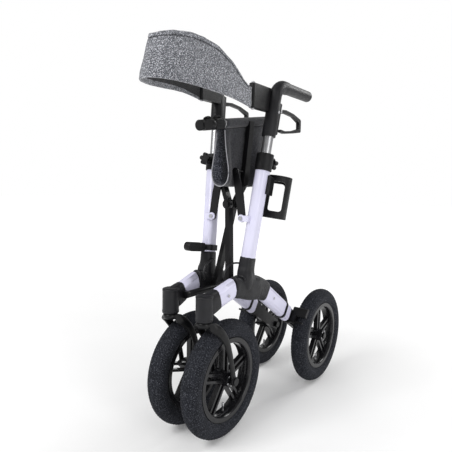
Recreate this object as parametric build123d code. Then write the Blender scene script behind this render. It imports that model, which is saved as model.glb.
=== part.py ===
"""Folding all-terrain rollator, standing folded on its four wheels.

Millimetres, +Z up, the user walks behind it at +Y and it rolls towards -Y.
+X is the user's left side. The origin is on the ground, under the middle of the folded scooter's box.
Left-side pieces are built once and mirrored to the right.
"""
from build123d import *
from math import atan2, cos, degrees, pi, radians, sin, sqrt
import os

os.makedirs("parts", exist_ok=True)

# ---- driving dimensions -------------------------------------------------------------------------
WHEEL_R = 152.5            # 12-inch pneumatic wheels, all four alike
TYRE_WIDTH = 52.0
TYRE_WALL = 5.0            # pneumatic: a hollow casing, open between its beads
TYRE_BEAD_R = 108.0        # the tyre sits on the rim here
RIM_INNER_R = 93.0
HUB_R = 19.0
AXLE_R = 6.0
SPOKE_PAIRS = 5

FRONT_AXLE_Y = -192.0
REAR_AXLE_Y = 268.0
FRONT_WHEEL_X = 55.0
REAR_WHEEL_X = 102.0
STEER_Y = -275.0           # the casters trail 83 behind their steering axis

LEG_X = 62.0
LEG_WIDTH = 30.0
HUB_X = 64.0
HUB_WIDTH = 40.0

UPRIGHT_FOOT = Vector(66.8, -110.7, 454.0)
SPLAY = 0.0662             # sideways run of an upright for each unit it rises
LEAN = 0.1567              # backward run of an upright for each unit it rises
UPRIGHT_TOP = 262.0        # along the upright from its foot
COLLAR_FROM = 236.0
COLLAR_TO = 281.0
SLEEVE_FROM = 327.0
INNER_TUBE_R = 13.5
GRIP_Z = 911.0
GRIP_END_Y = 142.0
GRIP_R = 15.5
RIGHT_RAISED = 37.0        # the right handle is set this much further out than the left one
SLEEVE_R = 18.5

FOLD_X = 33.0              # lower pivots of the cross brace, folded
FOLD_Z = 365.0
CROSS_Z = 596.0            # centre pivot of the cross brace, folded
KNEE = (25.0, 648.0)       # where each brace arm straightens, outside the hanging seat cloth
BRACE_LEAN = 0.15
FRONT_ARM_Y = -109.0       # the two arms lie one behind the other at the centre pivot
REAR_ARM_Y = -85.0
ARM_DEPTH = 20.0
ARM_WIDTH = 13.0

RAIL_X = 15.0
RAIL_R = 11.0
RAIL_FRONT = Vector(RAIL_X, -221.0, 793.42)
RAIL_REAR_Y = 60.0
RAIL_RISE = 0.1566
SEAT_DROP = 164.5          # from the rails' axis down to the fold of the hanging cloth, at the arms

FOLD_ANGLE = 46.0          # each arm turns this far when the scooter opens

LUG_X = 49.0
LUG_Z = 561.0
LUG_Y = -123.5             # front face of the lug
LUG_THICK = 4.0
LINK_Y = -116.5            # middle of the fold link's thickness
LINK_THICK = 5.0

BAND_END = (84.0, -146.0)  # backrest hinge at the handle bracket, in plan
BAND_FRONT_Y = -418.0
BAND_THICK = 6.0

CABLE_R = 2.5
CABLE_TOP = (-118, 441)    # where the cable leaves the hub
CABLE_FOOT = (-160, 389)   # where it goes back in
CABLE_ROUTE = [(HUB_X - 12, *CABLE_TOP), (36, *CABLE_TOP), (35, -142, 441), (34, -166, 430),
               (34, -173, 409), (36, *CABLE_FOOT), (HUB_X - 12, *CABLE_FOOT)]

GAP = 0.3                  # between faces that move past each other
FIT = 0.05                 # radial clearance of a running fit


# ---- helpers ------------------------------------------------------------------------------------
def cylinder(start, end, radius):
    """A solid round bar from one point to another."""
    start, end = Vector(*start), Vector(*end)
    plane = Plane(origin=start, z_dir=end - start)
    return extrude(plane * Circle(radius), (end - start).length)


def block(low, high):
    """A box from its lowest to its highest corner."""
    size = [b - a for a, b in zip(low, high)]
    middle = [(a + b) / 2 for a, b in zip(low, high)]
    return Pos(*middle) * Box(*size)


def side_plate(outline, x_from, x_to):
    """A plate cut to an outline given as (y, z) points, between two x positions."""
    plane = Plane(origin=(x_from, 0, 0), x_dir=(0, 1, 0), z_dir=(1, 0, 0))
    return extrude(plane * make_face(Polyline(*outline, close=True)), x_to - x_from)


def side_bar(points, widths, x_from, x_to):
    """A flat bar through (y, z) points, with rounded joints, between two x positions."""
    bar = None
    for (y, z), width in zip(points, widths):
        disc = cylinder((x_from, y, z), (x_to, y, z), width / 2)
        bar = disc if bar is None else bar + disc
    for (a, b), (wa, wb) in zip(zip(points, points[1:]), zip(widths, widths[1:])):
        run = Vector(b[0] - a[0], b[1] - a[1])
        across = Vector(-run.Y, run.X).normalized()
        corners = [
            (a[0] + across.X * wa / 2, a[1] + across.Y * wa / 2),
            (b[0] + across.X * wb / 2, b[1] + across.Y * wb / 2),
            (b[0] - across.X * wb / 2, b[1] - across.Y * wb / 2),
            (a[0] - across.X * wa / 2, a[1] - across.Y * wa / 2),
        ]
        bar = bar + side_plate(corners, x_from, x_to)
    return bar


def leg_tube(start, end, height):
    """An oval leg between two points on the legs' side of the frame."""
    start, end = Vector(*start), Vector(*end)
    plane = Plane(origin=start, x_dir=(1, 0, 0), z_dir=end - start)
    wall = 2.5
    section = RectangleRounded(LEG_WIDTH, height, LEG_WIDTH / 2 - 1)
    bore = RectangleRounded(LEG_WIDTH - 2 * wall, height - 2 * wall, LEG_WIDTH / 2 - 1 - wall)
    length = (end - start).length
    return extrude(plane * section, length) - extrude(plane * bore, length - 12)


def other_side(shape):
    return mirror(shape, about=Plane.YZ)


def write(name, shape):
    export_step(shape, f"parts/{name}.step")


def write_both(name, shape):
    """Write a left-side piece and its mirror image on the right."""
    write(f"left_{name}", shape)
    write(f"right_{name}", other_side(shape))


def write_both_handles(name, shape):
    """A left handle piece, and its mirror image further out along the right upright."""
    write(f"left_{name}", shape)
    write(f"right_{name}", Pos(*(UP_RIGHT * RIGHT_RAISED)) * other_side(shape))


# The upright's own frame: local Z runs up the tube from its foot, local Y towards the user.
UP = Vector(SPLAY, LEAN, 1).normalized()
UP_RIGHT = Vector(-UP.X, UP.Y, UP.Z)
UPRIGHT = Plane(origin=UPRIGHT_FOOT, x_dir=Vector(1, 0, -SPLAY), z_dir=UP)


def up_tube(x, y, z):
    """A point given in the upright's own frame, as a point of the scooter."""
    return UPRIGHT.from_local_coords(Vector(x, y, z))


# ---- wheels -------------------------------------------------------------------------------------
def tyre(x, y):
    height = WHEEL_R - TYRE_BEAD_R
    centre_r = WHEEL_R - TYRE_WIDTH / 2
    plane = Plane(origin=(x, y, WHEEL_R), x_dir=(0, 0, 1), z_dir=(0, 1, 0))
    section = Pos(centre_r, 0) * (Circle(TYRE_WIDTH / 2) - Circle(TYRE_WIDTH / 2 - TYRE_WALL))
    kept = Pos(TYRE_BEAD_R + 0.1 + height / 2, 0) * Rectangle(height, TYRE_WIDTH + 2)
    return revolve(plane * (section & kept), Axis((x, y, WHEEL_R), (1, 0, 0)), 360)


def rim(x, y):
    """A moulded rim: a channelled ring, a hub and pairs of parallel spokes."""
    half = 19.0
    flange = 4.0
    well = 12.0
    profile = [
        (RIM_INNER_R, -half + 4), (RIM_INNER_R + 3, -half), (TYRE_BEAD_R, -half),
        (TYRE_BEAD_R, -half + flange), (TYRE_BEAD_R - 8, -well + flange), (TYRE_BEAD_R - 8, well - flange),
        (TYRE_BEAD_R, half - flange), (TYRE_BEAD_R, half), (RIM_INNER_R + 3, half), (RIM_INNER_R, half - 4),
    ]
    plane = Plane(origin=(x, y, WHEEL_R), x_dir=(0, 0, 1), z_dir=(0, -1, 0))
    ring = revolve(plane * make_face(Polyline(*profile, close=True)), Axis((x, y, WHEEL_R), (1, 0, 0)), 360)
    wheel = ring + cylinder((x - 25, y, WHEEL_R), (x + 25, y, WHEEL_R), HUB_R)
    spoke_length = RIM_INNER_R + 3 - HUB_R / 2
    for index in range(SPOKE_PAIRS):
        for offset in (-8.5, 8.5):
            spoke = Pos(x, y + offset, WHEEL_R + HUB_R / 2 + spoke_length / 2) * Box(14, 7, spoke_length)
            wheel = wheel + spoke.rotate(Axis((x, y, WHEEL_R), (1, 0, 0)), 360 / SPOKE_PAIRS * index)
    return wheel - cylinder((x - 30, y, WHEEL_R), (x + 30, y, WHEEL_R), AXLE_R + FIT)


write_both("front_tyre", tyre(FRONT_WHEEL_X, FRONT_AXLE_Y))
write_both("front_rim", rim(FRONT_WHEEL_X, FRONT_AXLE_Y))
write_both("rear_tyre", tyre(REAR_WHEEL_X, REAR_AXLE_Y))
write_both("rear_rim", rim(REAR_WHEEL_X, REAR_AXLE_Y))

# ---- casters ------------------------------------------------------------------------------------
STEM_R = 8.0
STEM_TOP = 372.0
HOUSING_BOTTOM = 324.0
HOUSING_TOP = 387.0
HOUSING_R = 21.0
CROWN_TOP = HOUSING_BOTTOM - 2
CROWN_BOTTOM = 304.0
FORK_INSIDE = 29.5
FORK_ARM = 7.0


def fork():
    """Crown, stem and two curved arms that run back and down to the axle."""
    fork_outside = FORK_INSIDE + FORK_ARM
    x_low, x_high = FRONT_WHEEL_X - fork_outside, FRONT_WHEEL_X + fork_outside
    crown = block((x_low, STEER_Y - 14, CROWN_BOTTOM), (x_high, STEER_Y + 14, CROWN_TOP))
    crown = fillet(crown.edges().filter_by(Axis.Z), 6)
    body = crown + cylinder((FRONT_WHEEL_X, STEER_Y, CROWN_BOTTOM), (FRONT_WHEEL_X, STEER_Y, STEM_TOP), STEM_R)
    route = [(STEER_Y, 311), (-243, 300), (-215, 252), (FRONT_AXLE_Y, WHEEL_R)]
    for low, high in ((x_low, x_low + FORK_ARM), (x_high - FORK_ARM, x_high)):
        body = body + side_bar(route, [20, 22, 20, 24], low, high)
    hole = cylinder((x_low - 1, FRONT_AXLE_Y, WHEEL_R), (x_high + 1, FRONT_AXLE_Y, WHEEL_R), AXLE_R + FIT)
    return body - hole


def caster_housing():
    shell = Pos(FRONT_WHEEL_X, STEER_Y, (HOUSING_BOTTOM + HOUSING_TOP) / 2) * Cylinder(
        HOUSING_R, HOUSING_TOP - HOUSING_BOTTOM)
    shell = fillet(shell.edges().group_by(Axis.Z)[-1], 7)
    bore = cylinder((FRONT_WHEEL_X, STEER_Y, HOUSING_BOTTOM - 1),
                    (FRONT_WHEEL_X, STEER_Y, STEM_TOP + 1), STEM_R + FIT)
    return shell - bore


def caster_axle():
    outside = FORK_INSIDE + FORK_ARM
    axle = cylinder((FRONT_WHEEL_X - outside - 3, FRONT_AXLE_Y, WHEEL_R),
                    (FRONT_WHEEL_X + outside + 3, FRONT_AXLE_Y, WHEEL_R), AXLE_R)
    for side in (-1, 1):
        cap_from = FRONT_WHEEL_X + side * outside
        axle = axle + cylinder((cap_from, FRONT_AXLE_Y, WHEEL_R),
                               (cap_from + side * 5, FRONT_AXLE_Y, WHEEL_R), 10)
    return axle


write_both("fork", fork())
write_both("caster_axle", caster_axle())
housing = caster_housing()
write_both("caster_housing", housing)

# ---- side frames --------------------------------------------------------------------------------
LEG_HEIGHT = 52.0
FRONT_LEG_FROM = Vector(LEG_X, -172.0, 386.5)
FRONT_LEG_TO = Vector(FRONT_WHEEL_X, -268.0, 359.0)
REAR_SLOPE = 0.6745
REAR_LEG_FROM = Vector(LEG_X, -22.0, 152.5 + REAR_SLOPE * (REAR_AXLE_Y + 22.0))
REAR_LEG_TO = Vector(LEG_X, 121.0, 152.5 + REAR_SLOPE * (REAR_AXLE_Y - 121.0))

HUB_OUTLINE = [
    (-131, 456), (-134, 432), (-150, 417), (-182, 411), (-167, 362), (-140, 345), (-100, 334),
    (-38, 320), (-8, 363), (-66, 402), (-88, 428), (-90, 456),
]
hub = side_plate(HUB_OUTLINE, HUB_X - HUB_WIDTH / 2, HUB_X + HUB_WIDTH / 2)
hub = fillet(hub.edges().filter_by(Axis.X), 7)
hub = fillet(hub.edges().filter_by(Plane.YZ), 6)

tube_section = RectangleRounded(34, 38, 13)
upright = extrude(UPRIGHT * tube_section, UPRIGHT_TOP) - hub
lug = cylinder((LUG_X, LUG_Y, LUG_Z), (LUG_X, LUG_Y + LUG_THICK, LUG_Z), 10)
lug = lug + block((LUG_X, LUG_Y, LUG_Z - 8), (LUG_X + 22, LUG_Y + LUG_THICK, LUG_Z + 8))
lug = lug + block((LUG_X + 13, LUG_Y, LUG_Z - 8), (LUG_X + 22, LUG_Y + 22, LUG_Z + 8))
inner_bore = extrude(UPRIGHT.offset(60) * Circle(INNER_TUBE_R + FIT), UPRIGHT_TOP)
lug_bolt_hole = cylinder((LUG_X, LUG_Y - 1, LUG_Z), (LUG_X, LUG_Y + 9, LUG_Z), 3 + FIT)
write_both("upright_tube", upright + lug - inner_bore - lug_bolt_hole)

front_leg = leg_tube(FRONT_LEG_FROM, FRONT_LEG_TO, LEG_HEIGHT)
front_leg_cut = cylinder((FRONT_WHEEL_X, STEER_Y, 300), (FRONT_WHEEL_X, STEER_Y, 420), HOUSING_R)
front_leg = (front_leg - hub - front_leg_cut).solids().sort_by(SortBy.VOLUME)[-1]
write_both("front_leg", front_leg)

rear_leg = leg_tube(REAR_LEG_FROM, REAR_LEG_TO, LEG_HEIGHT)
rear_leg = (rear_leg - hub).solids().sort_by(SortBy.VOLUME)[-1]
write_both("rear_leg", rear_leg)

# The brace's lower pivots: stub pins on small brackets, inside the ends of the lower tubes.
LOWER_TUBE_R = 9.0
LOWER_TUBE_FROM = -232.0
LOWER_TUBE_TO = -6.0


def pivot_bracket(y_from, y_to, pin_to, wall_x):
    plate = block((FOLD_X, y_from, FOLD_Z - 9), (wall_x, y_to, FOLD_Z + 9))
    boss = cylinder((FOLD_X, y_from, FOLD_Z), (FOLD_X, y_to, FOLD_Z), 9)
    pin = cylinder((FOLD_X, (y_from + y_to) / 2, FOLD_Z), (FOLD_X, pin_to, FOLD_Z), AXLE_R)
    return plate + boss + pin


brackets = [
    pivot_bracket(LOWER_TUBE_FROM - 12.5, LOWER_TUBE_FROM - 0.5, LOWER_TUBE_FROM + 14, 50) - front_leg,
    pivot_bracket(LOWER_TUBE_TO + 0.5, LOWER_TUBE_TO + 12.5, LOWER_TUBE_TO - 14, 50) - rear_leg,
]
brackets = [bracket.solids().sort_by(SortBy.VOLUME)[-1] for bracket in brackets]
write_both("pivot_brackets", Compound(brackets))

for y, z in (CABLE_TOP, CABLE_FOOT):
    hub = hub - cylinder((HUB_X - 30, y, z), (HUB_X - 10, y, z), CABLE_R + 0.8)
write_both("hub_casting", hub)

# ---- rear axle, dropout and brake ---------------------------------------------------------------
BRAKE_PIVOT = (125.0, 228.0)
DROPOUT_LOW = 54.0
DROPOUT_HIGH = 70.0
PIN_R = 3.0

dropout = side_bar([(124, 249), (195, 198), (REAR_AXLE_Y, WHEEL_R)], [44, 36, 34], DROPOUT_LOW, DROPOUT_HIGH)
dropout = dropout + side_bar([(138, 236), BRAKE_PIVOT], [22, 16], DROPOUT_LOW, DROPOUT_HIGH)
dropout = dropout - rear_leg
dropout = dropout - cylinder((50, REAR_AXLE_Y, WHEEL_R), (75, REAR_AXLE_Y, WHEEL_R), AXLE_R + FIT)
dropout = dropout.solids().sort_by(SortBy.VOLUME)[-1]
brake_pin = cylinder((DROPOUT_HIGH - 6, *BRAKE_PIVOT), (118, *BRAKE_PIVOT), PIN_R)
band_plane = Plane(origin=(LEG_X, 88, 152.5 + REAR_SLOPE * (REAR_AXLE_Y - 88)), x_dir=(1, 0, 0),
                   z_dir=REAR_LEG_TO - REAR_LEG_FROM)
band_outer = RectangleRounded(LEG_WIDTH + 4, LEG_HEIGHT + 4, LEG_WIDTH / 2)
band_inner = RectangleRounded(LEG_WIDTH + 0.2, LEG_HEIGHT + 0.2, LEG_WIDTH / 2 - 1)
leg_band = extrude(band_plane * (band_outer - band_inner), 10)
write_both("rear_dropout", Compound([dropout + brake_pin, leg_band.solids()[0]]))

rear_axle = cylinder((48, REAR_AXLE_Y, WHEEL_R), (128.3, REAR_AXLE_Y, WHEEL_R), AXLE_R)
rear_axle = rear_axle + cylinder((46, REAR_AXLE_Y, WHEEL_R), (53.7, REAR_AXLE_Y, WHEEL_R), 10)
rear_axle = rear_axle + cylinder((127.3, REAR_AXLE_Y, WHEEL_R), (132, REAR_AXLE_Y, WHEEL_R), 10)
write_both("rear_axle", rear_axle)

SHOE_CLEAR = 3.2
shoe = side_bar([BRAKE_PIVOT, (134, 244), (147, 256)], [13, 11, 12], 76, 92)
shoe = shoe + side_bar([(139, 248), (151, 260)], [13, 15], 76, 124)
shoe = shoe - cylinder((70, REAR_AXLE_Y, WHEEL_R), (130, REAR_AXLE_Y, WHEEL_R), WHEEL_R + SHOE_CLEAR)
shoe = shoe - cylinder((70, *BRAKE_PIVOT), (130, *BRAKE_PIVOT), PIN_R + FIT)
shoe = shoe.solids().sort_by(SortBy.VOLUME)[-1]
write_both("brake_arm", shoe)

# ---- height adjustment and handles --------------------------------------------------------------
collar = extrude(UPRIGHT.offset(COLLAR_FROM) * Circle(23), COLLAR_TO - COLLAR_FROM)
collar = fillet(collar.edges().filter_by(GeomType.CIRCLE), 2)
knob_boss = cylinder(up_tube(0, 15, 262), up_tube(0, 28, 262), 9)
collar = collar + knob_boss
collar_socket = extrude(UPRIGHT.offset(COLLAR_FROM - 1) * RectangleRounded(34.2, 38.2, 13),
                        UPRIGHT_TOP - COLLAR_FROM + 1.3)
collar = collar - collar_socket
collar = collar - extrude(UPRIGHT.offset(UPRIGHT_TOP) * Circle(INNER_TUBE_R + FIT), 40)
stud_hole = cylinder(up_tube(0, 20.5, 262), up_tube(0, 40, 262), PIN_R + FIT)
collar = collar - stud_hole


def turned(shape):
    """The same piece set round the upright, on its front instead of its back."""
    return shape.rotate(Axis(UPRIGHT_FOOT, UP), 180)


knob = cylinder(up_tube(0, 28.4, 262), up_tube(0, 46, 262), 11)
for index in range(5):
    angle = 2 * pi * index / 5
    lobe_x, lobe_z = 11 * sin(angle), 262 + 11 * cos(angle)
    knob = knob + cylinder(up_tube(lobe_x, 31, lobe_z), up_tube(lobe_x, 46, lobe_z), 6)
knob = knob + cylinder(up_tube(0, 21, 262), up_tube(0, 30, 262), PIN_R)
write("left_height_collar", collar)
write("left_height_knob", knob)
write("right_height_collar", other_side(turned(collar)))
write("right_height_knob", other_side(turned(knob)))

SOCKET_DEPTH = 80.0
inner_tube = extrude(UPRIGHT.offset(120) * Circle(INNER_TUBE_R), SLEEVE_FROM + SOCKET_DEPTH - 120 - GAP)
inner_tube = inner_tube - extrude(UPRIGHT.offset(110) * Circle(INNER_TUBE_R - 2), 330)
write_both_handles("inner_tube", inner_tube)

grip_corner = UPRIGHT_FOOT + Vector(SPLAY, LEAN, 1) * (GRIP_Z - UPRIGHT_FOOT.Z)
sleeve_start = up_tube(0, 0, SLEEVE_FROM)
grip_end = Vector(grip_corner.X, GRIP_END_Y, GRIP_Z)
bend_start = up_tube(0, 0, SLEEVE_FROM + 86)
bend_end = Vector(grip_corner.X, 10, GRIP_Z)
handle = cylinder(sleeve_start, bend_start, SLEEVE_R)
bend_path = FilletPolyline(bend_start, grip_corner, bend_end, radius=38)
bend_plane = Plane(origin=bend_start, x_dir=(1, 0, 0), z_dir=grip_corner - bend_start)
handle = handle + sweep(bend_plane * Circle(GRIP_R + 1.5), path=bend_path)
grip = cylinder(bend_end - Vector(0, 0.5, 0), grip_end, GRIP_R)
grip = fillet(grip.edges().sort_by(Axis.Y)[-1:], 5)
handle = handle + grip
lever_house = Location(UPRIGHT.offset(SLEEVE_FROM + 10)) * Pos(0, 12, 42) * Box(24, 26, 84)
handle = handle + fillet(lever_house.edges(), 3)
socket = extrude(UPRIGHT.offset(SLEEVE_FROM - 1) * Circle(INNER_TUBE_R + FIT), SOCKET_DEPTH + 1)
LEVER_PIVOT = Vector(grip_corner.X - 4.5, -22.0, 846.0)
lever_slot = block((LEVER_PIVOT.X - 7, -32, 783), (LEVER_PIVOT.X + 7, 20, 856))
lever_slot = lever_slot - extrude(UPRIGHT.offset(SLEEVE_FROM - 10) * Circle(INNER_TUBE_R + 2), 140)
handle = handle - socket - lever_slot
lever_pin = cylinder(LEVER_PIVOT - Vector(9, 0, 0), LEVER_PIVOT + Vector(9, 0, 0), PIN_R)
handle = handle + lever_pin

# ---- brake levers -------------------------------------------------------------------------------
LOOP = [(-22.0, 846.0), (14.0, 850.0), (58.0, 846.0), (98.0, 834.0), (99.0, 808.0), (60.0, 800.0),
        (10.0, 794.0), (-12.0, 796.0)]
lever = side_bar(LOOP, [11, 9, 8, 12, 11, 7, 7, 7], LEVER_PIVOT.X - 5, LEVER_PIVOT.X + 5)
lever = lever - cylinder(LEVER_PIVOT - Vector(9, 0, 0), LEVER_PIVOT + Vector(9, 0, 0), PIN_R + FIT)
write_both_handles("brake_lever", lever)
write_both_handles("handle", handle)

bracket = block((76, BAND_END[1] + 7, 840), (92, -50, 900))
bracket = bracket + cylinder((BAND_END[0], BAND_END[1] + 12, 840), (BAND_END[0], BAND_END[1] + 12, 900), 8)
bracket = bracket - extrude(UPRIGHT.offset(300) * Circle(SLEEVE_R + 0.1), 200)
bracket = bracket.solids().sort_by(SortBy.VOLUME)[-1]
write_both_handles("backrest_bracket", bracket)

# ---- fasteners ----------------------------------------------------------------------------------
leg_side = LEG_X + LEG_WIDTH / 2
screws = [
    cylinder((leg_side - 1.9, -205, 374), (leg_side + 1, -205, 374), 3.5),
    cylinder((leg_side + 0.1, 18, 322), (leg_side + 1.6, 18, 322), 3.5),
    cylinder((LUG_X, LUG_Y - 4, LUG_Z), (LUG_X, LUG_Y, LUG_Z), 5.5)
    + cylinder((LUG_X, LUG_Y - 2, LUG_Z), (LUG_X, LINK_Y + LINK_THICK / 2 + 1, LUG_Z), PIN_R),
]
write_both("frame_screws", Compound(screws))

# ---- cross brace --------------------------------------------------------------------------------
def link_top_height():
    """How far above the centre pivot a link meets its arm, so that its length suits both ends of the fold."""
    turn = radians(FOLD_ANGLE)
    half = sqrt(FOLD_X**2 + (CROSS_Z - FOLD_Z) ** 2)
    lower = atan2(FOLD_X, CROSS_Z - FOLD_Z)
    folded_x, folded_z = LUG_X, LUG_Z - CROSS_Z
    open_x = LUG_X + half * sin(lower + turn) - FOLD_X
    open_z = LUG_Z - FOLD_Z - half * cos(lower + turn)
    knee_x = KNEE[0]
    known = open_x**2 + open_z**2 - folded_x**2 - folded_z**2
    known += 2 * knee_x * (folded_x - open_x * cos(turn) + open_z * sin(turn))
    return known / (2 * (open_x * sin(turn) + open_z * cos(turn) - folded_z))


LINK_TOP = (KNEE[0], CROSS_Z + link_top_height())


BOSS_PROUD = 2.4
BOLT_R = 5.0


def brace_point(x, z, y_centre):
    """A point of a brace arm, which leans back as it rises."""
    return Vector(x, y_centre + BRACE_LEAN * (z - CROSS_Z), z)


def arm_run(start, end):
    """One straight run of a brace arm, as a bar of constant level section."""
    plane = Plane(origin=start, x_dir=(1, 0, 0), z_dir=(0, 0, 1))
    run = end - start
    return extrude(plane * Rectangle(ARM_WIDTH, ARM_DEPTH), run.length, dir=run)


def brace_arm(side, y_centre):
    """An arm from a lower pivot on one side, through the centre pivot, up to the other side's rail."""
    foot = brace_point(side * FOLD_X, FOLD_Z, y_centre)
    centre = brace_point(0, CROSS_Z, y_centre)
    knee = brace_point(-side * KNEE[0], KNEE[1], y_centre)
    top = brace_point(-side * KNEE[0], 806, y_centre)
    arm = arm_run(foot, centre) + arm_run(centre, knee) + arm_run(knee, top)
    half = ARM_DEPTH / 2
    outward = -1 if y_centre < REAR_ARM_Y else 1
    boss_face = centre + Vector(0, outward * (half + BOSS_PROUD), 0)
    arm = arm + cylinder(centre, boss_face, 13)
    arm = arm + cylinder(knee - Vector(0, half - 1, 0), knee + Vector(0, half - 1, 0), ARM_WIDTH / 2)
    rail_z = RAIL_FRONT.Z + RAIL_RISE * (top.Y - RAIL_FRONT.Y)
    saddle = block((RAIL_X, top.Y - half, rail_z - 14), (KNEE[0] + 6, top.Y + half, rail_z))
    if side > 0:
        saddle = other_side(saddle)
    arm = arm + saddle
    lower = cylinder((side * FOLD_X, LOWER_TUBE_FROM, FOLD_Z), (side * FOLD_X, LOWER_TUBE_TO, FOLD_Z), LOWER_TUBE_R)
    arm = arm + lower
    arm = arm - cylinder((side * FOLD_X, LOWER_TUBE_FROM - 1, FOLD_Z),
                         (side * FOLD_X, LOWER_TUBE_TO + 1, FOLD_Z), AXLE_R + FIT)
    return arm - cylinder(centre - Vector(0, half + 5, 0), centre + Vector(0, half + 5, 0), BOLT_R + FIT)


def seat_rail():
    """A seat rail with a thicker plug on its front end, on the left."""
    rear = Vector(RAIL_X, RAIL_REAR_Y, RAIL_FRONT.Z + RAIL_RISE * (RAIL_REAR_Y - RAIL_FRONT.Y))
    along = (rear - RAIL_FRONT).normalized()
    tube = cylinder(RAIL_FRONT, rear, RAIL_R) - cylinder(RAIL_FRONT + along * 30, rear + along, RAIL_R - 2)
    plug = cylinder(RAIL_FRONT, RAIL_FRONT + along * 14, RAIL_R + 2.5)
    return tube + plug


rail_left = seat_rail()
rail_cut = cylinder(RAIL_FRONT, Vector(RAIL_X, RAIL_REAR_Y,
                    RAIL_FRONT.Z + RAIL_RISE * (RAIL_REAR_Y - RAIL_FRONT.Y)), RAIL_R + FIT)
link_pin_end = LINK_Y + LINK_THICK / 2 + 0.5


def link_pin(side, y_centre):
    """The stud on a brace arm that its fold link reaches."""
    x, z = LINK_TOP
    arm_face = y_centre + BRACE_LEAN * (z - CROSS_Z) - ARM_DEPTH / 2
    return cylinder((-side * x, link_pin_end, z), (-side * x, arm_face + 4, z), PIN_R)


arm_front = brace_arm(1, FRONT_ARM_Y) - other_side(rail_cut) + link_pin(1, FRONT_ARM_Y)
arm_rear = brace_arm(-1, REAR_ARM_Y) - rail_cut + link_pin(-1, REAR_ARM_Y)
write("brace_arm_front", arm_front)
write("brace_arm_rear", arm_rear)
write("seat_rail_left", rail_left)
write("seat_rail_right", other_side(rail_left))

bolt_front = FRONT_ARM_Y - ARM_DEPTH / 2 - BOSS_PROUD - GAP
bolt_rear = REAR_ARM_Y + ARM_DEPTH / 2 + BOSS_PROUD + GAP
centre_bolt = cylinder((0, bolt_front - 4, CROSS_Z), (0, bolt_rear + 4, CROSS_Z), BOLT_R)
centre_bolt = centre_bolt + cylinder((0, bolt_front - 5, CROSS_Z), (0, bolt_front, CROSS_Z), 9)
centre_bolt = centre_bolt + cylinder((0, bolt_rear, CROSS_Z), (0, bolt_rear + 5, CROSS_Z), 9)
write("centre_pivot_bolt", centre_bolt)


def fold_link():
    """A flat link from the upright's lug up to the brace arm, on the left."""
    y_from, y_to = LINK_Y - LINK_THICK / 2, LINK_Y + LINK_THICK / 2
    top_x, top_z = LINK_TOP
    foot, top = Vector(LUG_X, y_from, LUG_Z), Vector(top_x, y_from, top_z)
    run = top - foot
    across = Vector(run.Z, 0, -run.X).normalized()
    corners = [foot + across * 11, foot + run * 0.5 + across * 14, top + across * 9,
               top - across * 9, foot + run * 0.5 - across * 10, foot - across * 11]
    plate = extrude(make_face(Polyline(*corners, close=True)), LINK_THICK, dir=(0, 1, 0))
    for end, radius in ((foot, 11), (top, 9)):
        plate = plate + cylinder(end, end + Vector(0, LINK_THICK, 0), radius)
    plate = plate + cylinder(top - Vector(0, 3, 0), top, 5.5)
    return plate - cylinder(foot - Vector(0, 1, 0), foot + Vector(0, LINK_THICK + 1, 0), PIN_R + FIT)


write_both("fold_link", fold_link())

# ---- seat cloth ---------------------------------------------------------------------------------
CLOTH_THICK = 2.4
CLOTH_FROM = -152.0
CLOTH_TO = 50.0
CLOTH_X = 10.0


def seat_cloth():
    """The left half of the seat cloth, hanging from under its rail down to the fold at the middle."""
    bottom = 808 - SEAT_DROP
    outline = [
        (CLOTH_X + CLOTH_THICK / 2, 799), (CLOTH_X + CLOTH_THICK / 2, bottom + 14), (7, bottom + 3),
        (0.4, bottom), (0.4, bottom + CLOTH_THICK), (5.4, bottom + 5),
        (CLOTH_X - CLOTH_THICK / 2, bottom + 15), (CLOTH_X - CLOTH_THICK / 2, 799),
    ]
    plane = Plane(origin=(0, CLOTH_FROM, 0), x_dir=(1, 0, 0), z_dir=(0, -1, 0))
    sheet = extrude(plane * make_face(Polyline(*outline, close=True)), -(CLOTH_TO - CLOTH_FROM))
    under_rail = [
        (CLOTH_FROM - 5, 600),
        (CLOTH_FROM - 5, RAIL_FRONT.Z + RAIL_RISE * (CLOTH_FROM - 5 - RAIL_FRONT.Y) - RAIL_R - 2),
        (CLOTH_TO + 5, RAIL_FRONT.Z + RAIL_RISE * (CLOTH_TO + 5 - RAIL_FRONT.Y) - RAIL_R - 2),
        (CLOTH_TO + 5, 600),
    ]
    return sheet & side_plate(under_rail, -40, 40)


write("seat_cloth_left", seat_cloth())
write("seat_cloth_right", other_side(seat_cloth()))

# ---- backrest band ------------------------------------------------------------------------------
BAND_OUTLINE = [
    (-424, 866), (-424, 958), (-390, 968), (-330, 979), (-270, 975), (-220, 955), (-175, 922),
    (BAND_END[1] - 2, 895), (BAND_END[1] - 2, 842), (-212, 850), (-296, 858),
]


def backrest_band():
    """The left half of the padded backrest band, a quarter oval in plan."""
    long_axis = BAND_END[1] - BAND_FRONT_Y
    outer = Pos(0, BAND_END[1]) * Ellipse(BAND_END[0] + BAND_THICK / 2, long_axis)
    inner = Pos(0, BAND_END[1]) * Ellipse(BAND_END[0] - BAND_THICK / 2, long_axis - BAND_THICK)
    quarter = Pos(60.3, BAND_END[1] - 200) * Rectangle(120, 400)
    wall = extrude(Plane.XY.offset(830) * ((outer - inner) & quarter), 160)
    return wall & side_plate(BAND_OUTLINE, -10, 120)


write("backrest_band_left", backrest_band())
write("backrest_band_right", other_side(backrest_band()))

# ---- cup holder and hook ------------------------------------------------------------------------
CUP_R = 36.0
CUP_LOW = 118.0
CUP_HIGH = 234.0
CUP_AT = (9.0, 78.0)


CUP_WALL = 5.0
WINDOW_LOW = 19.0          # solid rim left under each window
WINDOW_HIGH = 16.0         # solid rim left over it
WINDOW_WIDTH = 38.0
WINDOW_TURN = -61.0        # the two windows face this way, in plan, and the opposite way


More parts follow.
